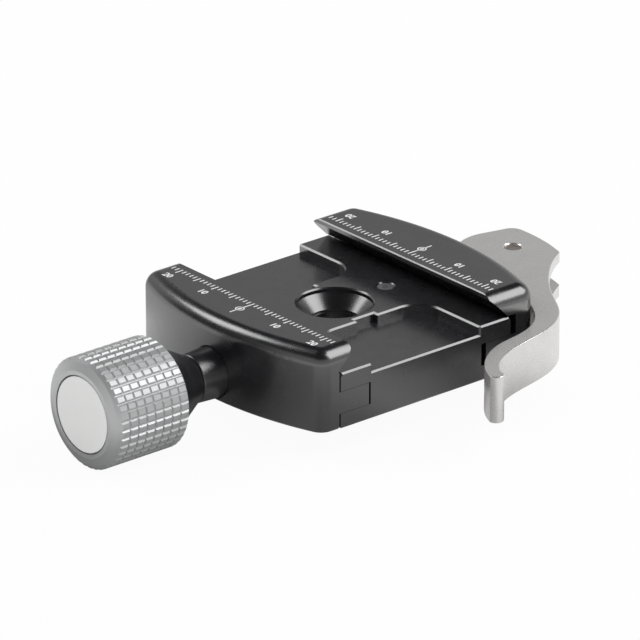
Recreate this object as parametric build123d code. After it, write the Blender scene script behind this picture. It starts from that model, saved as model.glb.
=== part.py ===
from build123d import *
import math
import os

os.makedirs("parts", exist_ok=True)

# Dovetail quick release clamp, in millimetres.
# X runs across the two jaws, from the knob at -X to the lever at +X, and Y runs along them.
# The origin is the axis of the mounting hole, on the bottom face of the centre block.
# Each jaw slides in X on a tongue and two pins. The knob draws one in, the cam lever the other.

# Fits between pieces
slide_gap = 0.05            # a jaw's tongue in its slot, above and below
running_gap = 0.05          # radial, on pins and threads that turn or slide
seat_gap = 0.02             # radial, round pieces that are screwed or pressed in
loose_gap = 0.3             # radial, holes that only let a rod through
cam_gap = 0.1               # between the closed cam and its wear plate

# Centre block
block_length = 50.0
block_half_width = 19.8
floor_height = 10.65
block_bottom_chamfer = 0.4
block_edge_chamfer = 0.35
slot_bottom = 3.0
slot_top = 7.2
slot_depth = 6.9
pocket_half_width = 12.5
pocket_depth = 1.6
pocket_start = 9.0
pocket_corner_radius = 4.8
key_notch_half_width = 2.4
key_notch_depth = 1.1

# Mounting hole and the countersink above it
mount_hole_radius = 4.2
mount_step_radius = 4.6
mount_step_height = 6.9
cone_bottom_height = 7.4
cone_top_radius = 6.95
rim_chamfer = 0.25

# Jaws
jaw_top = 15.5
jaw_bottom = 0.1
jaw_wall_radius = 67.0
jaw_corner_radius = 3.0
jaw_edge_radius = 2.8
jaw_bottom_chamfer = 0.4
lip_depth = 0.9
lip_chamfer = 0.2
overhang_height = 10.9
knob_jaw_gap = 0.3          # closed, between the block's side and the jaw
knob_jaw_overhang = 3.25
knob_jaw_tongue = 6.8
knob_jaw_depth = 8.6
lever_jaw_gap = 1.2
lever_jaw_overhang = 5.55
lever_jaw_tongue = 7.0
lever_jaw_depth = 9.0

# Studs, their locking screws and the springs round them
stud_height = 5.15
stud_radius = 3.0
stud_wall = 2.0             # left between the mounting hole and a stud
stud_chamfer = 0.5
lock_screw_radius = 1.5
lock_screw_inset = 1.0
lock_screw_recess = 0.15
lock_socket_radius = 0.75
lock_socket_depth = 1.0
spring_pocket_step = 0.8
spring_seat_depth = 1.9
spring_pocket_radius = 4.1
spring_outer_radius = 3.95
spring_wire_depth = 0.6
spring_wire_width = 0.9
spring_turns = 4.5

# Guide pins, two for each jaw
guide_pin_radius = 1.5
guide_pin_inset = 8.0       # from the block's ends
guide_pin_hold = 7.4
guide_pin_reach = 3.4
guide_pin_end_gap = 0.5
guide_pin_chamfer = 0.3

# Neck sleeve and thrust washer on the knob side
neck_seat_depth = 1.5
neck_root_radius = 4.75
neck_end_radius = 4.5
neck_end_chamfer = 0.15
neck_length = 4.9
neck_seat_chamfer = 0.2
thrust_washer_thickness = 0.3
thrust_washer_radius = 3.9

# Knob
knob_radius = 10.25
knob_bevel_length = 0.6
knob_bevel_radius = 9.5
knob_cone_length = 0.55
knob_front_flat_radius = 8.0
collar_seat_radius = 7.0
collar_seat_depth = 0.6
# The collar's flare: how far each point is from the collar's end, and its radius.
collar_flare = [(0.0, 4.55), (1.25, 5.12), (2.65, 5.92), (4.05, 6.69), (6.05, 8.11), (7.75, 9.4)]
knob_back_chamfer = 0.35
knurl_depth = 0.3
knurl_groove_floor = 0.12
knurl_rows = 40
knurl_row_slope = 1.0
knurl_rings = 8
knurl_ring_pitch = 1.88
knurl_ring_slope = 0.6
face_disc_radius = 7.1
face_disc_gap = 0.15
face_disc_thickness = 1.4
face_disc_recess = 0.05
face_disc_chamfer = 0.15
nut_outer_radius = 5.5
nut_length = 7.3
cavity_radius = 5.2
stop_screw_radius = 1.5
stop_screw_reach = 5.0
stop_head_radius = 4.2
stop_head_thickness = 1.6
stop_socket_width = 2.5
knob_travel = 4.0
stop_spare_travel = 0.2

# Cam lever, its pivot, and the wear plate that the cam bears on
pivot_distance = 12.4       # closed, from the jaw's outer side to the pivot
pivot_pin_radius = 1.6
pivot_pin_recess = 0.35
pivot_pin_chamfer = 0.25
pivot_hole_chamfer = 0.2
lever_bottom = 1.2
lever_top = 10.1
fork_bottom = 3.5
fork_top = 8.1
fork_reach = 13.2
lever_edge_radius = 0.25
cam_lift_per_radian = 2.1
lever_opening = 100.0
eye_radius = 4.3
fork_washer_thickness = 0.2
fork_washer_gap = 0.03
fork_washer_radius = 3.9
eye_flat_start = 0.3
wear_plate_thickness = 1.6
wear_plate_proud = 0.2
wear_plate_half_length = 5.6
wear_plate_bottom = 1.5
wear_plate_top = 9.8
wear_plate_corner_radius = 2.0

# Lever outline, measured from the pivot, with the handle closed against the jaw.
# The back of the hub, from the end of the cam round to the outer corner.
hub_back_start = (4.4, 7.45)
hub_back_turn = (6.15, 6.5)
hub_back_side = (6.7, 4.9)
hub_back_middle = (6.4, -1.2)
hub_corner = (5.0, -7.3)
hub_corner_radius = 0.8
# The outer side of the handle, from the hub's corner to the tip.
handle_outer = [
    (-2.7, -13.1), (-9.3, -21.4), (-13.6, -28.0), (-19.9, -32.2), (-27.7, -34.3), (-34.2, -36.5),
]
# The inner side of the handle, from the tip back to the cam.
handle_inner = [
    (-37.6, -35.2), (-31.8, -31.9), (-25.8, -30.7), (-19.9, -28.0), (-15.3, -21.8), (-12.9, -13.0),
    (-11.95, -6.8),
]
tip_outer = (-39.2, -41.3)
tip_end = (-40.5, -43.0)
tip_inner = (-42.05, -41.6)

# Places that follow from the sizes above
half_length = block_length / 2
slot_end = block_half_width - slot_depth
spring_start = slot_end + spring_pocket_step
stud_start = mount_step_radius + stud_wall
lock_screw_place = slot_end - lock_screw_inset
guide_pin_start = slot_end - guide_pin_hold
guide_pin_distance = half_length - guide_pin_inset
knob_jaw_groove = block_half_width + knob_jaw_gap
knob_jaw_lip = knob_jaw_groove - knob_jaw_overhang
knob_jaw_tip = knob_jaw_groove - knob_jaw_tongue
knob_jaw_outer = knob_jaw_groove + knob_jaw_depth
lever_jaw_groove = block_half_width + lever_jaw_gap
lever_jaw_lip = lever_jaw_groove - lever_jaw_overhang
lever_jaw_tip = lever_jaw_groove - lever_jaw_tongue
lever_jaw_outer = lever_jaw_groove + lever_jaw_depth
pivot_place = lever_jaw_outer + pivot_distance
tongue_bottom = slot_bottom + slide_gap
tongue_top = slot_top - slide_gap
lip_bottom = jaw_top - lip_depth
neck_seat = knob_jaw_outer - neck_seat_depth
neck_end = knob_jaw_outer + neck_length
washer_end = neck_end + thrust_washer_thickness
collar_end = washer_end + running_gap
knob_back = collar_end + collar_flare[-1][0]
ring_groove_mouth = knurl_groove_floor / 2 + knurl_depth * knurl_ring_slope
first_square = knob_back + knob_back_chamfer
last_square_end = first_square + knurl_rings * knurl_ring_pitch - 2 * ring_groove_mouth
bevel_end = last_square_end + knob_bevel_length
knob_front = bevel_end + knob_cone_length
nut_start = knob_back + collar_seat_depth
nut_end = nut_start + nut_length
knob_stud_end = nut_end + knob_travel + stop_spare_travel
face_disc_seat = knob_front - face_disc_recess - face_disc_thickness
wear_plate_seat = lever_jaw_outer + wear_plate_proud - wear_plate_thickness
cam_rest_radius = pivot_place - lever_jaw_outer - wear_plate_proud - cam_gap
stud_hole_radius = stud_radius + loose_gap
lock_screw_top = floor_height - lock_screw_recess
stud_top = stud_height + stud_radius
eye_bottom = fork_bottom + fork_washer_thickness + 2 * fork_washer_gap
eye_top = fork_top - fork_washer_thickness - 2 * fork_washer_gap


def rod(radius, start, end, across=0.0, height=stud_height):
    """A round bar along X, from start to end."""
    middle = (start + end) / 2
    return Pos(middle, across, height) * Rot(0, 90, 0) * Cylinder(radius, abs(end - start))


def post(radius, bottom, top, place=(0.0, 0.0)):
    """A round bar along Z, from bottom to top."""
    return Pos(place[0], place[1], (bottom + top) / 2) * Cylinder(radius, top - bottom)


def block_between(low, high):
    """A plain block between two corners."""
    size = [high[i] - low[i] for i in range(3)]
    middle = [(high[i] + low[i]) / 2 for i in range(3)]
    return Pos(*middle) * Box(*size)


def turned(profile, height=stud_height):
    """A turned piece on the studs' axis, from (distance from the clamp's middle, radius) corners."""
    outline = make_face(Polyline(*profile, close=True))
    return Pos(0, 0, height) * revolve(outline, Axis.X)


def to_knob_side(shape):
    """Turns a piece made on the +X side over to the knob's side."""
    return mirror(shape, about=Plane.YZ)


def section_bar(corners):
    """A bar as long as the block, from the corners of its section in X and Z."""
    outline = make_face(Plane.XZ * Polyline(*corners, close=True))
    return extrude(outline, amount=half_length, both=True)


def cuts_for_jaw(side):
    """What is drilled in the block for one jaw: stud, spring, guide pins and locking screw."""
    stud_hole = rod(stud_radius + seat_gap, stud_start, spring_start)
    spring_pocket = rod(spring_pocket_radius, spring_start, block_half_width + loose_gap)
    screw_hole = post(lock_screw_radius + seat_gap, stud_height, floor_height, (lock_screw_place, 0))
    cuts = [stud_hole, spring_pocket, screw_hole]
    for across in (-guide_pin_distance, guide_pin_distance):
        cuts.append(rod(guide_pin_radius + seat_gap, guide_pin_start, slot_end, across))
    if side < 0:
        cuts = [to_knob_side(cut) for cut in cuts]
    return cuts


def make_centre_block():
    """The milled centre block: a slot in each side, two end pockets and the countersunk mounting hole."""
    half = block_half_width
    right_side = [
        (half - block_bottom_chamfer, 0), (half, block_bottom_chamfer), (half, slot_bottom),
        (slot_end, slot_bottom), (slot_end, slot_top), (half, slot_top),
        (half, floor_height - block_edge_chamfer), (half - block_edge_chamfer, floor_height),
    ]
    left_side = [(-x, z) for x, z in reversed(right_side)]
    body = section_bar(right_side + left_side)
    end_edges = body.faces().sort_by(Axis.Z)[0].edges().filter_by(Axis.X)
    body = chamfer(end_edges, block_bottom_chamfer)
    pocket_floor = floor_height - pocket_depth
    for end in (-1, 1):
        pocket_length = half_length - pocket_start
        middle = end * (pocket_start + pocket_length / 2)
        pocket = extrude(Rectangle(2 * pocket_half_width, pocket_length), pocket_depth)
        pocket = Pos(0, middle, pocket_floor) * pocket
        corners = pocket.edges().filter_by(Axis.Z).sort_by(Axis.Y)
        inner_corners = corners[-2:] if end < 0 else corners[:2]
        pocket = fillet(inner_corners, pocket_corner_radius)
        notch_end = pocket_start - key_notch_depth
        notch_low = (-key_notch_half_width, min(end * notch_end, end * half_length), pocket_floor)
        notch_high = (key_notch_half_width, max(end * notch_end, end * half_length), floor_height)
        body = body - pocket - block_between(notch_low, notch_high)
    cone_top_height = cone_bottom_height + cone_top_radius - mount_step_radius
    hole_outline = Polyline(
        (0, 0), (mount_hole_radius, 0), (mount_hole_radius, mount_step_height),
        (mount_step_radius, mount_step_height), (mount_step_radius, cone_bottom_height),
        (cone_top_radius, cone_top_height), (cone_top_radius, floor_height - rim_chamfer),
        (cone_top_radius + rim_chamfer, floor_height), (0, floor_height), close=True,
    )
    body = body - revolve(make_face(Plane.XZ * hole_outline), Axis.Z)
    for side in (-1, 1):
        for cut in cuts_for_jaw(side):
            body = body - cut
    return body


def outer_rim(face, inner):
    """The edges of a jaw's top or bottom face, without those on its straight inner side."""
    return [edge for edge in face.edges() if edge.center().X > inner + slide_gap]


def lens_body(inner, outer):
    """The outer form of a jaw: straight inside, a shallow arc outside, rounded corners and top edge."""
    sag = jaw_wall_radius - math.sqrt(jaw_wall_radius ** 2 - half_length ** 2)
    wall = ThreePointArc((outer - sag, -half_length), (outer, 0), (outer - sag, half_length))
    inside = Polyline(wall @ 1, (inner, half_length), (inner, -half_length), wall @ 0)
    plan = make_face([wall, *inside.edges()])
    outer_corners = plan.vertices().sort_by(Axis.X)[-2:]
    plan = fillet(outer_corners, jaw_corner_radius)
    body = Pos(0, 0, jaw_bottom) * extrude(plan, jaw_top - jaw_bottom)
    body = fillet(outer_rim(body.faces().sort_by(Axis.Z)[-1], inner), jaw_edge_radius)
    return chamfer(outer_rim(body.faces().sort_by(Axis.Z)[0], inner), jaw_bottom_chamfer)


def make_jaw(lip, groove, tip, outer):
    """One jaw on the +X side: dovetail lip, groove, tongue, and the holes for its stud, spring and pins."""
    undercut_end = lip + lip_bottom - overhang_height
    far_side = outer + loose_gap
    section = section_bar([
        (lip + lip_chamfer, jaw_top), (lip, jaw_top - lip_chamfer), (lip, lip_bottom),
        (undercut_end, overhang_height), (groove, overhang_height), (groove, tongue_top), (tip, tongue_top),
        (tip, tongue_bottom), (groove, tongue_bottom), (groove, jaw_bottom), (far_side, jaw_bottom),
        (far_side, jaw_top),
    ])
    jaw = lens_body(tip, outer) & section
    spring_seat = groove + spring_seat_depth
    jaw = jaw - rod(spring_pocket_radius, tip - loose_gap, spring_seat)
    jaw = jaw - rod(stud_hole_radius, spring_seat, far_side)
    for across in (-guide_pin_distance, guide_pin_distance):
        hole_end = groove + guide_pin_reach + guide_pin_end_gap
        jaw = jaw - rod(guide_pin_radius + running_gap, tip - loose_gap, hole_end, across)
    return jaw


def make_knob_side_jaw():
    """The jaw that the knob draws in, with a counterbore for the neck sleeve."""
    jaw = make_jaw(knob_jaw_lip, knob_jaw_groove, knob_jaw_tip, knob_jaw_outer)
    counterbore = neck_root_radius + seat_gap
    open_end = knob_jaw_outer + loose_gap
    mouth = counterbore + neck_seat_chamfer + loose_gap
    neck_cut = turned([
        (neck_seat, 0), (neck_seat, counterbore), (knob_jaw_outer - neck_seat_chamfer, counterbore),
        (open_end, mouth), (open_end, 0),
    ])
    return to_knob_side(jaw - neck_cut)


def wear_plate_blank(gap):
    """The outline of the wear plate, or of its seat when given a gap."""
    half = wear_plate_half_length + gap
    low = (wear_plate_seat, -half, wear_plate_bottom - gap)
    high = (lever_jaw_outer + wear_plate_proud, half, wear_plate_top + gap)
    plate = block_between(low, high)
    return fillet(plate.edges().filter_by(Axis.X), wear_plate_corner_radius)


def make_lever_side_jaw():
    """The jaw that the lever's cam presses in, with a seat for the wear plate."""
    jaw = make_jaw(lever_jaw_lip, lever_jaw_groove, lever_jaw_tip, lever_jaw_outer)
    return jaw - wear_plate_blank(seat_gap)


def make_wear_plate():
    """The brass plate let into the jaw, which the cam bears on."""
    return wear_plate_blank(0) - rod(stud_hole_radius, wear_plate_seat - loose_gap, pivot_place)


def make_knob_stud():
    """The threaded stud that the knob runs on, screwed into the block and drilled for its stop screw."""
    stud = rod(stud_radius, stud_start, knob_stud_end)
    ends = stud.edges().filter_by(GeomType.CIRCLE)
    stud = chamfer(ends, stud_chamfer)
    hole = rod(stop_screw_radius + seat_gap, knob_stud_end - stop_screw_reach, knob_stud_end)
    return to_knob_side(stud - hole)


def make_lever_stud():
    """The eye stud screwed into the block, flattened where it stands in the lever's fork."""
    stud = rod(stud_radius, stud_start, pivot_place)
    flat_from = lever_jaw_outer + eye_flat_start
    reach = pivot_place + eye_radius
    for low, high in ((0, eye_bottom), (eye_top, lever_top)):
        stud = stud - block_between((flat_from, -eye_radius, low), (reach, eye_radius, high))
    stud = stud + post(eye_radius, eye_bottom, eye_top, (pivot_place, 0))
    stud = stud - post(pivot_pin_radius + running_gap, 0, lever_top, (pivot_place, 0))
    inner_end = stud.faces().sort_by(Axis.X)[0].edges()
    return chamfer(inner_end, stud_chamfer)


def make_lock_screw():
    """A socket grub screw in the block's floor, which locks a stud from above."""
    screw = post(lock_screw_radius, stud_top, lock_screw_top, (lock_screw_place, 0))
    socket = extrude(RegularPolygon(lock_socket_radius, 6), lock_socket_depth)
    return screw - Pos(lock_screw_place, 0, lock_screw_top - lock_socket_depth) * socket


def make_guide_pin(side, end, groove):
    """A hardened pin pressed into the block, on which a jaw slides."""
    across = end * guide_pin_distance
    pin = rod(guide_pin_radius, guide_pin_start, groove + guide_pin_reach, across)
    pin = chamfer(pin.edges().filter_by(GeomType.CIRCLE), guide_pin_chamfer)
    return pin if side > 0 else to_knob_side(pin)


def make_spring(groove):
    """The flat wire spring round a stud, which pushes its jaw outwards."""
    seat = groove + spring_seat_depth
    length = seat - spring_start - spring_wire_width
    middle_radius = spring_outer_radius - spring_wire_depth / 2
    path = Helix(pitch=length / spring_turns, height=length, radius=middle_radius)
    wire_plane = Plane(origin=path @ 0, z_dir=path % 0, x_dir=(1, 0, 0))
    coil = sweep(wire_plane * Rectangle(spring_wire_depth, spring_wire_width), path=path, is_frenet=True)
    return Pos(spring_start + spring_wire_width / 2, 0, stud_height) * Rot(0, 90, 0) * coil


def make_neck_sleeve():
    """The tapered sleeve that stands in the jaw's counterbore and takes the knob's thrust."""
    sleeve = turned([
        (neck_seat, stud_hole_radius), (neck_seat, neck_root_radius), (knob_jaw_outer, neck_root_radius),
        (neck_end - neck_end_chamfer, neck_end_radius), (neck_end, neck_end_radius - neck_end_chamfer),
        (neck_end, stud_hole_radius),
    ])
    return to_knob_side(sleeve)


def make_thrust_washer():
    """The thin washer between the sleeve, which stands still, and the collar, which turns."""
    washer = rod(thrust_washer_radius, neck_end, washer_end) - rod(stud_hole_radius, neck_end, washer_end)
    return to_knob_side(washer)


def make_knob_collar():
    """The black flared collar behind the knob, with a spigot let into the knob's back."""
    flare = Spline(*[(collar_end + place, radius) for place, radius in collar_flare])
    back = Polyline(
        flare @ 1, (knob_back, collar_seat_radius), (nut_start, collar_seat_radius),
        (nut_start, stud_hole_radius), (collar_end, stud_hole_radius), flare @ 0,
    )
    outline = make_face([flare, *back.edges()])
    return to_knob_side(Pos(0, 0, stud_height) * revolve(outline, Axis.X))


def make_knob_nut():
    """The threaded bush pressed into the knob, which runs on the stud."""
    bore = stud_radius + running_gap
    nut = rod(nut_outer_radius, nut_start, nut_end) - rod(bore, nut_start, nut_end)
    return to_knob_side(nut)


def make_stop_screw():
    """The screw in the stud's end, which keeps the knob from coming off."""
    head_end = knob_stud_end + stop_head_thickness
    screw = rod(stop_screw_radius, knob_stud_end - stop_screw_reach, knob_stud_end)
    screw = screw + rod(stop_head_radius, knob_stud_end, head_end)
    socket = Plane.YZ * RegularPolygon(stop_socket_width / math.sqrt(3), 6)
    socket = Pos(head_end - stop_head_thickness / 2, 0, stud_height) * extrude(socket, stop_head_thickness)
    return to_knob_side(screw - socket)


def knurl_groove(slope, middle):
    """The four corners of one knurling groove, as (distance along, depth below the crests)."""
    floor = knurl_groove_floor / 2
    mouth = floor + knurl_depth * slope
    return [
        (middle - mouth, 0), (middle - floor, knurl_depth),
        (middle + floor, knurl_depth), (middle + mouth, 0),
    ]


def make_knob_shell():
    """The knob: a turned cap with ring grooves and lengthwise grooves that leave a grid of small squares."""
    outline = [(knob_back, 0), (knob_back, knob_radius - knob_back_chamfer), (first_square, knob_radius)]
    for ring in range(1, knurl_rings):
        middle = first_square + ring * knurl_ring_pitch - ring_groove_mouth
        groove = knurl_groove(knurl_ring_slope, middle)
        outline += [(place, knob_radius - depth) for place, depth in groove]
    outline += [
        (last_square_end, knob_radius), (bevel_end, knob_bevel_radius),
        (knob_front, knob_front_flat_radius), (knob_front, 0),
    ]
    row_pitch = 2 * math.pi * knob_radius / knurl_rows
    tooth = []
    for row in range(knurl_rows):
        for place, depth in knurl_groove(knurl_row_slope, row * row_pitch):
            radius = knob_radius - depth
            turn = place / knob_radius
            tooth.append((radius * math.cos(turn), radius * math.sin(turn)))
    rows = extrude(Plane.YZ * make_face(Polyline(*tooth, close=True)), knob_front - knob_back)
    body = turned(outline) & (Pos(knob_back, 0, stud_height) * rows)
    body = body - rod(collar_seat_radius + seat_gap, knob_back, nut_start)
    body = body - rod(nut_outer_radius + seat_gap, nut_start, nut_end)
    body = body - rod(cavity_radius, nut_end, face_disc_seat)
    body = body - rod(face_disc_radius + face_disc_gap, face_disc_seat, knob_front)
    return to_knob_side(body)


def make_face_disc():
    """The plain disc that closes the knob's end."""
    disc = rod(face_disc_radius, face_disc_seat, face_disc_seat + face_disc_thickness)
    rim = disc.faces().sort_by(Axis.X)[-1].edges()
    return to_knob_side(chamfer(rim, face_disc_chamfer))


def from_pivot(point):
    """A point of the lever's outline, given from the pivot, in the clamp's frame."""
    return (pivot_place + point[0], point[1])


def cam_point(opened):
    """The point of the evenly lifting cam that the wear plate touches, with the lever opened so far."""
    facing = math.pi - opened
    support = cam_rest_radius - cam_lift_per_radian * opened
    x = support * math.cos(facing) - cam_lift_per_radian * math.sin(facing)
    y = support * math.sin(facing) + cam_lift_per_radian * math.cos(facing)
    return from_pivot((x, y))


def make_lever():
    """The cam lever: a forked hub with the cam on its inner side, and an S-shaped handle round the jaw."""
    opened = math.radians(lever_opening)
    cam_steps = 6
    cam = Spline(*[cam_point(opened * step / cam_steps) for step in range(cam_steps + 1)])
    back_top = Line(cam @ 1, from_pivot(hub_back_start))
    back_turn = ThreePointArc(*[from_pivot(p) for p in (hub_back_start, hub_back_turn, hub_back_side)])
    back = ThreePointArc(*[from_pivot(p) for p in (hub_back_side, hub_back_middle, hub_corner)])
    outer = Spline(*[from_pivot(p) for p in [hub_corner, *handle_outer, tip_outer]])
    tip = ThreePointArc(*[from_pivot(p) for p in (tip_outer, tip_end, tip_inner)])
    inner = Spline(*[from_pivot(p) for p in [tip_inner, *handle_inner]], cam @ 0)
    plan = make_face([cam, back_top, back_turn, back, outer, tip, inner])
    corner_place = Vector(*from_pivot(hub_corner))
    plan = fillet(plan.vertices().sort_by_distance(corner_place)[0], hub_corner_radius)
    lever = Pos(0, 0, lever_bottom) * extrude(plan, lever_top - lever_bottom)
    lever = fillet(lever.faces().sort_by(Axis.Z)[-1].edges(), lever_edge_radius)
    lever = fillet(lever.faces().sort_by(Axis.Z)[0].edges(), lever_edge_radius)
    lever = lever - post(fork_reach, fork_bottom, fork_top, (pivot_place, 0))
    pin_hole_radius = pivot_pin_radius + seat_gap
    lever = lever - post(pin_hole_radius, lever_bottom, lever_top, (pivot_place, 0))
    pin_hole_mouths = [
        edge for edge in lever.edges().filter_by(GeomType.CIRCLE)
        if abs(edge.radius - pin_hole_radius) < running_gap and not fork_bottom <= edge.center().Z <= fork_top
    ]
    return chamfer(pin_hole_mouths, pivot_hole_chamfer)


def make_pivot_pin():
    """The pin pressed through the lever's fork, which turns in the stud's eye."""
    bottom = lever_bottom + pivot_pin_recess
    top = lever_top - pivot_pin_recess
    pin = post(pivot_pin_radius, bottom, top, (pivot_place, 0))
    return chamfer(pin.edges().filter_by(GeomType.CIRCLE), pivot_pin_chamfer)


def make_fork_washer(bottom):
    """A thin nylon washer between the eye and one side of the fork."""
    top = bottom + fork_washer_thickness
    outside = post(fork_washer_radius, bottom, top, (pivot_place, 0))
    return outside - post(pivot_pin_radius + running_gap, bottom, top, (pivot_place, 0))


parts = {
    "centre_block": make_centre_block(),
    "knob_side_jaw": make_knob_side_jaw(),
    "lever_side_jaw": make_lever_side_jaw(),
    "wear_plate": make_wear_plate(),
    "knob_stud": make_knob_stud(),
    "lever_stud": make_lever_stud(),
    "lever_stud_lock_screw": make_lock_screw(),
    "knob_stud_lock_screw": to_knob_side(make_lock_screw()),
    "knob_jaw_spring": to_knob_side(make_spring(knob_jaw_groove)),
    "lever_jaw_spring": make_spring(lever_jaw_groove),
    "neck_sleeve": make_neck_sleeve(),
    "thrust_washer": make_thrust_washer(),
    "knob_collar": make_knob_collar(),
    "knob_nut": make_knob_nut(),
    "knob_stop_screw": make_stop_screw(),
    "knob_shell": make_knob_shell(),
    "knob_face_disc": make_face_disc(),
    "lever": make_lever(),
    "pivot_pin": make_pivot_pin(),
    "upper_fork_washer": make_fork_washer(eye_top + fork_washer_gap),
    "lower_fork_washer": make_fork_washer(fork_bottom + fork_washer_gap),
}
for name, end in (("front", -1), ("rear", 1)):
    parts[f"knob_jaw_{name}_pin"] = make_guide_pin(-1, end, knob_jaw_groove)
    parts[f"lever_jaw_{name}_pin"] = make_guide_pin(1, end, lever_jaw_groove)

for name, shape in parts.items():
    export_step(shape, f"parts/{name}.step")
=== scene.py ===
import math

import bmesh
import bpy
from mathutils import Matrix, Vector


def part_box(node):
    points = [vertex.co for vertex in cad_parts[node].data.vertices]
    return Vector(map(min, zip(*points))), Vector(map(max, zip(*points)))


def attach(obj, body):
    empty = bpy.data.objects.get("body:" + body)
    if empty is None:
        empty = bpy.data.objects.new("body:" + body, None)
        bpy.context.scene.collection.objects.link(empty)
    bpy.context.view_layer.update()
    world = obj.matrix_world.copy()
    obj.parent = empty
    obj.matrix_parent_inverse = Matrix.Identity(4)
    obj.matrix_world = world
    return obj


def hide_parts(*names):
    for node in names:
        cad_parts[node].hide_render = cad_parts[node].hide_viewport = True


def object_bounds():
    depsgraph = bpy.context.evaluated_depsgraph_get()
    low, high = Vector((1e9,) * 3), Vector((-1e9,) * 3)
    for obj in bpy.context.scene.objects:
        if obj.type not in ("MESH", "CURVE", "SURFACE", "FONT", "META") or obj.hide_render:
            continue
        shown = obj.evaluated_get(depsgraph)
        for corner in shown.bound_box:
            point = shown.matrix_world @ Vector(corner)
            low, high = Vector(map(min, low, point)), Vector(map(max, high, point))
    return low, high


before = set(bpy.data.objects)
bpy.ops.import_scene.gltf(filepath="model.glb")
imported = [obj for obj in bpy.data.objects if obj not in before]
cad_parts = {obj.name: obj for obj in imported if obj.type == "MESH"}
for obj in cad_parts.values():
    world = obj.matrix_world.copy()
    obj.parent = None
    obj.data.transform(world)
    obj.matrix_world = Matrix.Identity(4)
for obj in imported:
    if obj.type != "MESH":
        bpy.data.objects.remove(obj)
cad_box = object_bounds()


# Camera.
# It stands where the photograph was taken from: a long lens, about 1.3 m away, turned
# 40 degrees round the clamp and 23 degrees above it.

view_azimuth = math.radians(-40.155)
view_elevation = math.radians(23.178)
view_roll = math.radians(0.038)
view_distance = 1.31895
view_middle = Vector((-0.0007, 0, 0.008))
view_aside = -0.002112
view_raised = -0.000525

view_back = Vector((
    math.sin(view_azimuth) * math.cos(view_elevation),
    -math.cos(view_azimuth) * math.cos(view_elevation),
    math.sin(view_elevation),
))
view_right = Vector((math.cos(view_azimuth), math.sin(view_azimuth), 0))
view_up = view_back.cross(view_right)
view_place = (view_middle + view_right * view_aside + view_up * view_raised
              + view_back * view_distance)

lens = bpy.data.cameras.new("camera")
lens.sensor_width = 36
lens.lens = 415.4
lens.clip_start = 0.05
lens.clip_end = 20
camera = bpy.data.objects.new("camera", lens)
bpy.context.scene.collection.objects.link(camera)
turned = Matrix((view_right, view_up, view_back)).transposed().to_4x4()
camera.matrix_world = Matrix.Translation(view_place) @ turned @ Matrix.Rotation(view_roll, 4, "Z")
bpy.context.scene.camera = camera
bpy.context.scene.view_settings.view_transform = "Standard"


# Studio.
# A pale table under the clamp, which glows with painted light and painted shade in the clamp's
# reflections, a white surround, and two soft boxes, one high behind the knob's side and one in
# front of the lever's. The ceiling between them stays dark.


class Wire:
    """One output of a shader node. Sums, products and differences of wires add Math nodes."""

    def __init__(self, socket):
        self.socket = socket
        self.tree = socket.id_data

    def other(self, name):
        """Another output of the node that this wire comes from."""
        return Wire(self.socket.node.outputs[name])

    def node(self, kind, settings=None, inputs=None, out=0):
        """A new node in the same tree. Its settings are made before its inputs."""
        made = self.tree.nodes.new(kind)
        for name, value in (settings or {}).items():
            if name == "stops":
                while len(made.color_ramp.elements) < len(value):
                    made.color_ramp.elements.new(1)
                for element, (position, level) in zip(made.color_ramp.elements, value):
                    element.position = position
                    element.color = (level, level, level, 1)
            else:
                setattr(made, name, value)
        for key, value in (inputs or {}).items():
            if isinstance(value, Wire):
                self.tree.links.new(value.socket, made.inputs[key])
            else:
                made.inputs[key].default_value = value
        return Wire(made.outputs[out])

    def to(self, socket):
        self.tree.links.new(self.socket, socket)

    def maths(self, operation, *values):
        return self.node("ShaderNodeMath", {"operation": operation}, dict(enumerate(values)))

    def __add__(self, other):
        return self.maths("ADD", self, other)

    def __mul__(self, other):
        return self.maths("MULTIPLY", self, other)

    def __sub__(self, other):
        return self.maths("SUBTRACT", self, other)

    def __rsub__(self, other):
        return self.maths("SUBTRACT", other, self)

    __radd__ = __add__
    __rmul__ = __mul__


def grey(level):
    return (level, level, level, 1)


def toward(wire, direction, start, end, low, high):
    """A smooth step between two values, by how far the wire's direction agrees with this one."""
    agrees = wire.node("ShaderNodeVectorMath", {"operation": "DOT_PRODUCT"},
                       {0: wire, 1: direction}, out="Value")
    return agrees.node("ShaderNodeMapRange", {"interpolation_type": "SMOOTHSTEP"}, {
        "Value": agrees, "From Min": start, "From Max": end, "To Min": low, "To Max": high})


mirrored_light = 0.49
plain_light = 0.6

surround = bpy.data.worlds.new("surround")
surround.use_nodes = True
bpy.context.scene.world = surround
backdrop = surround.node_tree.nodes["Background"]
backdrop.inputs["Color"].default_value = grey(1)
rays = Wire(surround.node_tree.nodes.new("ShaderNodeLightPath").outputs["Is Camera Ray"])
glossy = rays.other("Is Glossy Ray")
shown = rays.maths("MAXIMUM", rays, rays.other("Is Transmission Ray"))
look = rays.node("ShaderNodeTexCoord", out="Generated")
below_ceiling = toward(look, (0, 0, 1), start=0.40, end=0.58, low=1, high=0.05)
behind_left = toward(look, (-0.70, 0.70, 0.14), start=0.86, end=0.97, low=1, high=0.15)
mirrored = glossy * (below_ceiling * behind_left * mirrored_light)
plain = (1 - glossy) * plain_light
strength = rays.maths("MAXIMUM", rays.maths("MAXIMUM", shown, mirrored), plain)
strength.to(backdrop.inputs["Strength"])

table_half = 3
table_drop = 0.00002

table = bmesh.new()
bmesh.ops.create_grid(table, x_segments=1, y_segments=1, size=table_half)
bmesh.ops.translate(table, verts=table.verts, vec=(0, 0, cad_box[0][2] - table_drop))
table_mesh = bpy.data.meshes.new("table")
table.to_mesh(table_mesh)
table.free()
table_object = bpy.data.objects.new("table", table_mesh)
bpy.context.scene.collection.objects.link(table_object)


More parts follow.
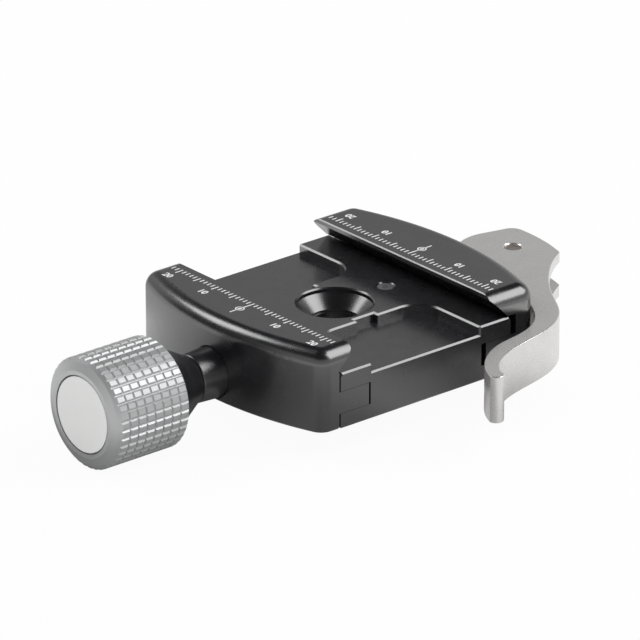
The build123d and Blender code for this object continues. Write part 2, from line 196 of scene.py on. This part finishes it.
def white_table():
    """Seen white, and lit as pale paper. What the clamp mirrors of it is a painted glow that
    changes round about it: painted light and painted shade.
    """
    paper_grey = 0.82
    # The glow that the clamp mirrors of the table is painted light, seen in reflections only.
    painted_glow_strength = 1.6
    mirrored_share = 0.88
    white_share = 0.95
    # Where the painted shade round about the clamp gives way to the painted level further off.
    near_middle = (-0.012, -0.005, 0)
    near_edge = 0.056
    far_edge = 0.066
    painted_far_grey = 0.55
    # Painted light and painted shade of the near table as the clamp mirrors it, by the share of a
    # turn round the mounting hole.
    painted_near_greys = (
        (0, 0.45), (0.31, 1), (0.36, 0.62), (0.4, 0.4), (0.44, 0.06), (0.52, 0.1), (0.57, 0.22),
        (0.62, 0.15), (0.72, 0.21), (0.76, 0.41), (0.8, 0.3), (0.83, 0.12), (0.87, 0.4),
        (0.92, 0.55))

    paper = bpy.data.materials.new("white_table")
    paper.use_nodes = True
    paper.node_tree.nodes.clear()
    paper_out = paper.node_tree.nodes.new("ShaderNodeOutputMaterial")
    seen = Wire(paper.node_tree.nodes.new("ShaderNodeLightPath").outputs["Is Camera Ray"])
    spot = seen.node("ShaderNodeTexCoord", out="Object")
    along = spot.node("ShaderNodeSeparateXYZ", None, {0: spot})
    turn = spot.maths("ARCTAN2", along.other("Y") * -1, along * -1)
    bearing = turn * (0.5 / math.pi) + 0.5
    near = bearing.node("ShaderNodeValToRGB", {"stops": painted_near_greys}, {"Fac": bearing})
    away = spot.node("ShaderNodeVectorMath", {"operation": "DISTANCE"},
                     {0: spot, 1: near_middle}, out="Value")
    far = away.node("ShaderNodeMapRange", {"interpolation_type": "SMOOTHSTEP"},
                    {"Value": away, "From Min": near_edge, "From Max": far_edge})
    painted_sheen = far.node("ShaderNodeMix", {"data_type": "RGBA"},
                     {0: far, 6: near, 7: grey(painted_far_grey)}, out=2)
    lit = seen.node("ShaderNodeBsdfDiffuse", None, {"Color": grey(paper_grey)})
    # A glow that is no lamp, seen only in reflections: painted light and painted shade.
    bright = seen.node("ShaderNodeEmission", None, {"Color": painted_sheen, "Strength": painted_glow_strength})
    white = seen.node("ShaderNodeEmission", None, {"Color": grey(1), "Strength": 1})
    mirror_share = seen.other("Is Glossy Ray") * mirrored_share
    paper_seen = seen.node("ShaderNodeMixShader", None, {0: mirror_share, 1: lit, 2: bright})
    share = seen.maths("MAXIMUM", seen, seen.other("Is Transmission Ray")) * white_share
    surface = seen.node("ShaderNodeMixShader", None, {0: share, 1: paper_seen, 2: white})
    surface.to(paper_out.inputs["Surface"])
    return paper


table_mesh.materials.append(white_table())

box_distance = 0.70
soft_boxes = {
    "rear_left_box": ((-0.30, 0.66, 0.69), (0.28, 0.28), 0.96),
    "front_right_box": ((0.59, -0.47, 0.66), (0.50, 0.46), 2.6),
}
for name, (direction, size, watts) in soft_boxes.items():
    lamp = bpy.data.lights.new(name, "AREA")
    lamp.shape = "RECTANGLE"
    lamp.size, lamp.size_y = size
    lamp.energy = watts
    box = bpy.data.objects.new(name, lamp)
    direction = Vector(direction).normalized()
    box.location = direction * box_distance
    box.rotation_euler = direction.to_track_quat("Z", "Y").to_euler()
    bpy.context.scene.collection.objects.link(box)


# Centre block.
# One piece of aluminium, milled with a flat floor, two end pockets and a countersunk
# mounting hole, then blasted and anodised black.


def new_finish(name, colour, metallic, roughness):
    """A material, its shader and the place on the object in millimetres."""
    material = bpy.data.materials.new(name)
    material.use_nodes = True
    shader = material.node_tree.nodes["Principled BSDF"]
    shader.inputs["Base Color"].default_value = (*colour, 1)
    shader.inputs["Metallic"].default_value = metallic
    shader.inputs["Roughness"].default_value = roughness
    start = Wire(material.node_tree.nodes.new("ShaderNodeTexCoord").outputs["Object"])
    place = start.node("ShaderNodeVectorMath", {"operation": "SCALE"}, {0: start, "Scale": 1000})
    return material, shader, place


def speckle(place, per_mm, detail=2):
    return place.node("ShaderNodeTexNoise", None,
                      {"Vector": place, "Scale": per_mm, "Detail": detail})


def uneven(wire, low, high):
    """A noise wire spread between two values."""
    return wire.node("ShaderNodeMapRange", None, {
        "Value": wire, "From Min": 0.3, "From Max": 0.7, "To Min": low, "To Max": high})


def tint(wire, dark, pale):
    """A colour between two, by a noise wire."""
    return wire.node("ShaderNodeMix", {"data_type": "RGBA"},
                     {0: uneven(wire, 0, 1), 6: (*dark, 1), 7: (*pale, 1)}, out=2)


def dress(shader, colour, roughness, bumps, height_mm):
    """Gives a shader its uneven colour, its uneven roughness and its fine relief."""
    colour.to(shader.inputs["Base Color"])
    roughness.to(shader.inputs["Roughness"])
    relief = bumps.node("ShaderNodeBump", None,
                        {"Height": bumps, "Distance": height_mm / 1000, "Strength": 1})
    relief.to(shader.inputs["Normal"])


def anodised_black():
    material, shader, place = new_finish("black_anodised", (0.006, 0.006, 0.008), 0, 0.25)
    shader.inputs["IOR"].default_value = 2.3
    grain = speckle(place, 6, 3)
    cloud = speckle(place, 0.35)
    dress(shader, tint(cloud, (0.0045, 0.0045, 0.0065), (0.007, 0.007, 0.0095)),
          uneven(grain, -0.02, 0.02) + uneven(cloud, 0.23, 0.27), grain, 0.003)
    return material


def refinish(material, *nodes):
    for node in nodes:
        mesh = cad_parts[node].data
        mesh.materials.clear()
        mesh.materials.append(material)


def merged_copy(node):
    """A CAD piece's own shape in millimetres, with its loose triangles joined into flat faces."""
    weld_distance = 0.002
    flat_angle = math.radians(0.1)
    shape = bmesh.new()
    shape.from_mesh(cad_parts[node].data)
    bmesh.ops.scale(shape, verts=shape.verts, vec=(1000, 1000, 1000))
    bmesh.ops.remove_doubles(shape, verts=shape.verts, dist=weld_distance)
    bmesh.ops.dissolve_limit(shape, angle_limit=flat_angle, verts=shape.verts, edges=shape.edges)
    return shape


def back_to_metres(shape):
    bmesh.ops.scale(shape, verts=shape.verts, vec=(0.001, 0.001, 0.001))


def put_on_frame(shape, name, body, materials, sharp_degrees):
    """Makes a shape one piece of the clamp, shaded smooth up to its sharp edges."""
    for face in shape.faces:
        face.smooth = True
    for edge in shape.edges:
        edge.smooth = True
    mesh = bpy.data.meshes.new(name)
    shape.to_mesh(mesh)
    shape.free()
    if "custom_normal" in mesh.attributes:
        mesh.attributes.remove(mesh.attributes["custom_normal"])
    for material in materials:
        mesh.materials.append(material)
    piece = bpy.data.objects.new(name, mesh)
    bpy.context.scene.collection.objects.link(piece)
    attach(piece, body)
    mesh.set_sharp_from_angle(angle=math.radians(sharp_degrees))
    even = piece.modifiers.new("even_shading", "WEIGHTED_NORMAL")
    even.keep_sharp = True
    return piece


def eased_block(metal):
    """The centre block with its milled edges broken, so that they catch the light."""
    edge_break = 0.3
    pocket_depth = 1.6
    square_corner = math.radians(60)
    near = 0.01
    high_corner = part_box("centre_block")[1]
    block_end = 1000 * high_corner[1]
    floor_top = 1000 * high_corner[2]
    pocket_floor = floor_top - pocket_depth
    shape = merged_copy("centre_block")
    milled = []
    for edge in shape.edges:
        if len(edge.link_faces) != 2 or not edge.is_convex:
            continue
        if edge.calc_face_angle() < square_corner:
            continue
        on_top = all(vert.co.z > floor_top - near for vert in edge.verts)
        on_end = all(vert.co.z > pocket_floor - near and abs(vert.co.y) > block_end - near
                     for vert in edge.verts)
        if on_top or on_end:
            milled.append(edge)
    bmesh.ops.bevel(shape, geom=milled, offset=edge_break, offset_type="OFFSET", affect="EDGES",
                    segments=1, profile=0.5, material=-1, clamp_overlap=False)
    back_to_metres(shape)
    piece = put_on_frame(shape, "eased_block", "base", [metal], sharp_degrees=30)
    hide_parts("centre_block")


black_anodised = anodised_black()
eased_block(black_anodised)


# Jaws.
# Two milled aluminium jaws, lens-shaped in plan, anodised black like the block. A millimetre
# scale is engraved in each top and filled with pale paint, and numbered every ten.

channel_middle = -0.7
lips_apart = 32.3
scale_inset = 1.69             # from a jaw's lip to the inner end of its ticks
long_tick = 1.82
long_tick_every = 5
short_tick_share = 0.62
last_tick = 23
badge_inset = 3.41             # from the ticks' inner ends to the middle of the zero's badge
numbers_inset = 3.51
zero_line_length = 5.76
line_width = 0.29
badge_radius = 0.875
badge_line = 0.26
badge_gap = 0.02
digit_height = 1.4
zero_height = 0.85
digit_share = 0.7              # of a font's size, how tall its digits stand
engraved_depth = 0.08
scale_top = 1000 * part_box("knob_side_jaw")[1][2]


def add_line(shape, start, end):
    """An engraving tool's straight pass between two points on the top, in millimetres."""
    along = Vector(end) - Vector(start)
    turn = Matrix.Rotation(math.atan2(along.y, along.x), 4, "Z")
    size = Matrix.Diagonal((along.length, line_width, 2 * engraved_depth, 1))
    middle = (Vector(start) + Vector(end)) / 2
    spot = Matrix.Translation((middle.x, middle.y, scale_top))
    bmesh.ops.create_cube(shape, size=1, matrix=spot @ turn @ size)


def add_badge(shape, centre):
    """The ring round the zero."""
    ring = bmesh.ops.create_circle(shape, segments=40, radius=badge_radius, cap_ends=False)["verts"]
    ring_edges = list({edge for vert in ring for edge in vert.link_edges})
    inner = bmesh.ops.extrude_edge_only(shape, edges=ring_edges)["geom"]
    inner_verts = [item for item in inner if isinstance(item, bmesh.types.BMVert)]
    inner_share = 1 - badge_line / badge_radius
    bmesh.ops.scale(shape, verts=inner_verts, vec=(inner_share, inner_share, 1))
    flat = list({face for vert in inner_verts for face in vert.link_faces})
    raised = bmesh.ops.extrude_face_region(shape, geom=flat)["geom"]
    raised_verts = [item for item in raised if isinstance(item, bmesh.types.BMVert)]
    bmesh.ops.translate(shape, verts=raised_verts, vec=(0, 0, 2 * engraved_depth))
    around = list(set(ring + inner_verts + raised_verts))
    bmesh.ops.translate(shape, verts=around, vec=(*centre, scale_top - engraved_depth))


def finished_mesh(item):
    """The mesh that an object's text or modifiers make."""
    bpy.context.view_layer.update()
    scene_now = bpy.context.evaluated_depsgraph_get()
    return bpy.data.meshes.new_from_object(item.evaluated_get(scene_now))


def add_number(shape, words, centre, height, turn):
    """A generic number, cut out of a text object and turned to read from the jaw's own side."""
    text = bpy.data.curves.new("number", "FONT")
    text.body = words
    text.size = height / digit_share
    text.align_x = "CENTER"
    text.align_y = "CENTER"
    text.extrude = engraved_depth
    text.offset = 0.07
    text.resolution_u = 4
    holder = bpy.data.objects.new("number", text)
    bpy.context.scene.collection.objects.link(holder)
    flat = finished_mesh(holder)
    before = set(shape.verts)
    shape.from_mesh(flat)
    added = [vert for vert in shape.verts if vert not in before]
    low = Vector([min(vert.co[i] for vert in added) for i in range(3)])
    high = Vector([max(vert.co[i] for vert in added) for i in range(3)])
    middle = (low + high) / 2
    bmesh.ops.translate(shape, verts=added, vec=-middle)
    bmesh.ops.rotate(shape, verts=added, cent=(0, 0, 0), matrix=Matrix.Rotation(turn, 3, "Z"))
    bmesh.ops.translate(shape, verts=added, vec=(*centre, scale_top))
    bpy.data.objects.remove(holder)
    bpy.data.meshes.remove(flat)


def engraved_scale(side):
    """The cutter for one jaw's scale. side is the x direction from the channel to the jaw."""
    inner = lips_apart / 2 + side * channel_middle + scale_inset
    badge = inner + badge_inset
    badge_reach = badge_radius + badge_gap
    numbers = inner + numbers_inset
    turn = side * math.pi / 2
    shape = bmesh.new()
    for tick in range(-last_tick, last_tick + 1):
        if tick == 0:
            continue
        is_long = tick % long_tick_every == 0 or abs(tick) == last_tick
        reach = inner + long_tick * (1 if is_long else short_tick_share)
        add_line(shape, (side * inner, tick), (side * reach, tick))
    add_line(shape, (side * inner, 0), (side * (badge - badge_reach), 0))
    add_line(shape, (side * (badge + badge_reach), 0), (side * (inner + zero_line_length), 0))
    add_badge(shape, (side * badge, 0))
    add_number(shape, "0", (side * badge, 0), zero_height, turn)
    for at in (-20, -10, 10, 20):
        add_number(shape, str(abs(at)), (side * numbers, at), digit_height, turn)
    return shape


def scale_paint():
    material, shader, place = new_finish("scale_paint", (0.9, 0.9, 0.9), 0, 0.55)
    worn = speckle(place, 3)
    dress(shader, tint(worn, (0.82, 0.82, 0.82), (0.9, 0.9, 0.89)),
          uneven(worn, 0.5, 0.65), worn, 0.01)
    return material


def bench_object(shape, name, materials):
    """A shape as an object of its own, only for as long as the engraving takes."""
    mesh = bpy.data.meshes.new(name)
    shape.to_mesh(mesh)
    shape.free()
    for material in materials:
        mesh.materials.append(material)
    made = bpy.data.objects.new(name, mesh)
    bpy.context.scene.collection.objects.link(made)
    return made


def engraved_jaw(node, name, body, side, materials):
    """The jaw's own CAD shape, merged, with the scale cut into its top and filled with paint."""
    blank = bench_object(merged_copy(node), "jaw_blank", materials)
    cutter = engraved_scale(side)
    bmesh.ops.recalc_face_normals(cutter, faces=cutter.faces)
    tool = bench_object(cutter, "scale_tool", materials)
    for face in tool.data.polygons:
        face.material_index = 1
    cut = blank.modifiers.new("engraving", "BOOLEAN")
    cut.operation = "DIFFERENCE"
    cut.solver = "EXACT"
    cut.material_mode = "TRANSFER"
    cut.object = tool
    shape = bmesh.new()
    shape.from_mesh(finished_mesh(blank))
    bpy.data.objects.remove(blank)
    bpy.data.objects.remove(tool)
    back_to_metres(shape)
    piece = put_on_frame(shape, name, body, materials, sharp_degrees=30)
    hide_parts(node)


jaw_finishes = [black_anodised, scale_paint()]
engraved_jaw("knob_side_jaw", "engraved_knob_jaw", "knob_jaw", -1, jaw_finishes)
engraved_jaw("lever_side_jaw", "engraved_lever_jaw", "lever_jaw", 1, jaw_finishes)


# Neck sleeve and collar.
# Two short turned aluminium pieces between jaw and knob, anodised black after fine turning.


def tool_marks(place, per_mm, distortion):
    """The fine rings that a lathe leaves round the studs' axis."""
    return place.node("ShaderNodeTexWave", {"wave_type": "BANDS", "bands_direction": "X"},
                      {"Vector": place, "Scale": per_mm, "Distortion": distortion, "Detail": 1})


def turned_black():
    material, shader, place = new_finish("black_turned", (0.008, 0.008, 0.011), 0, 0.3)
    shader.inputs["IOR"].default_value = 2.3
    grain = speckle(place, 7)
    dress(shader, tint(grain, (0.006, 0.006, 0.009), (0.01, 0.01, 0.014)),
          uneven(grain, 0.27, 0.33), tool_marks(place, 2.2, 0.6) * 0.5 + grain * 0.5, 0.003)
    return material


refinish(turned_black(), "neck_sleeve", "knob_collar")


# Knob.
# A hollow aluminium shell with a fine square knurl, turned bright and anodised silver.


def darkened(colour, share):
    return tuple(share * value for value in colour)


def turned_silver():
    """Anodising over a finely blasted face leaves it less clear than bare metal."""
    colour = (0.62, 0.625, 0.63)
    material, shader, place = new_finish("silver_anodised", colour, 0.72, 0.46)
    grain = speckle(place, 8)
    dress(shader, tint(grain, darkened(colour, 0.93), colour),
          uneven(grain, 0.42, 0.5), tool_marks(place, 3.1, 0.5) * 0.6 + grain * 0.4, 0.002)
    return material


refinish(turned_silver(), "knob_shell")


# Face disc.
# A plain thin aluminium disc let into the knob's end, spun with fine rings and lacquered matt.


def spun_disc():
    """The rings are centred on the knob's axis, which lies above the origin."""
    axis_height = 5.15
    material, shader, place = new_finish("face_disc", (0.94, 0.94, 0.935), 0, 0.45)
    centred = place.node("ShaderNodeMapping", None,
                         {"Vector": place, "Location": (0, 0, -axis_height)})
    rings = place.node("ShaderNodeTexWave", {"wave_type": "RINGS", "rings_direction": "X"},
                       {"Vector": centred, "Scale": 2.4, "Distortion": 0.3, "Detail": 1})
    grain = speckle(place, 8)
    dress(shader, tint(grain, (0.92, 0.92, 0.915), (0.95, 0.95, 0.945)),
          uneven(grain, 0.42, 0.5), rings * 0.6 + grain * 0.4, 0.003)
    return material


def let_in_disc(finish):
    """The disc with its edge broken, a hair smaller than the recess that it is glued into."""
    glue_gap = 0.00014
    edge_break = 0.0001
    low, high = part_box("knob_face_disc")
    middle = (Vector(low) + Vector(high)) / 2
    radius = (high[1] - low[1]) / 2 - glue_gap
    shape = bmesh.new()
    bmesh.ops.create_cone(shape, cap_ends=True, segments=96, radius1=radius, radius2=radius,
                          depth=high[0] - low[0])
    bmesh.ops.rotate(shape, verts=shape.verts, cent=(0, 0, 0),
                     matrix=Matrix.Rotation(math.pi / 2, 3, "Y"))
    bmesh.ops.translate(shape, verts=shape.verts, vec=middle)
    front = [edge for edge in shape.edges if all(vert.co.x < middle.x for vert in edge.verts)]
    bmesh.ops.bevel(shape, geom=front, offset=edge_break, offset_type="OFFSET", affect="EDGES",
                    segments=2, profile=0.5, material=-1, clamp_overlap=True)
    piece = put_on_frame(shape, "let_in_disc", "knob", [finish], sharp_degrees=50)
    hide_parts("knob_face_disc")


let_in_disc(spun_disc())


# Cam lever.
# One investment-cast steel piece of even height, finely blasted all over.


def satin_steel(name, colour, roughness, metallic=1):
    material, shader, place = new_finish(name, colour, metallic, roughness)
    grain = speckle(place, 5, 3)
    cloud = speckle(place, 0.3)
    cloudy = uneven(cloud, roughness - 0.01, roughness + 0.01)
    dress(shader, tint(cloud, darkened(colour, 0.94), colour),
          uneven(grain, -0.03, 0.03) + cloudy, grain, 0.0015)
    return material


refinish(satin_steel("satin_lever", (0.8, 0.79, 0.775), 0.28, 0.8), "lever")


# Pivot pin, eye stud, threaded stud, screws and guide pins.
# Ground and turned steel, left bright. The pivot pin and the locking screws are the duller.

refinish(satin_steel("bright_steel", (0.56, 0.55, 0.54), 0.26),
         "knob_stud", "lever_stud", "knob_stop_screw", "knob_jaw_front_pin",
         "knob_jaw_rear_pin", "lever_jaw_front_pin", "lever_jaw_rear_pin")
refinish(satin_steel("pin_steel", (0.6, 0.55, 0.51), 0.5), "pivot_pin")
# The locking screws' steel is paler than the other steel: painted light that makes up for the shade
# of the recess they sit in.
refinish(satin_steel("screw_steel", (0.75, 0.75, 0.76), 0.5),
         "lever_stud_lock_screw", "knob_stud_lock_screw")


# Springs.
# Two coils of flat spring wire, darkened by tempering.

refinish(satin_steel("spring_steel", (0.36, 0.36, 0.38), 0.3),
         "knob_jaw_spring", "lever_jaw_spring")


# Knob nut and wear plate.
# Brass: a turned bush pressed into the knob, which carries the thread, and a flat plate let
# into the jaw, which the cam bears on.

refinish(satin_steel("brass", (0.72, 0.53, 0.24), 0.3), "knob_nut", "wear_plate")


# Washers.
# Thin nylon rings that keep metal from rubbing at the collar and in the lever's fork.


def nylon_rings(name, dark, pale):
    material, shader, place = new_finish(name, pale, 0, 0.5)
    grain = speckle(place, 2, 3)
    dress(shader, tint(grain, dark, pale), uneven(grain, 0.45, 0.55), grain, 0.01)
    return material


refinish(nylon_rings("black_nylon", (0.03, 0.03, 0.03), (0.045, 0.045, 0.045)), "thrust_washer")
refinish(nylon_rings("pale_nylon", (0.57, 0.55, 0.49), (0.64, 0.62, 0.56)),
         "upper_fork_washer", "lower_fork_washer")
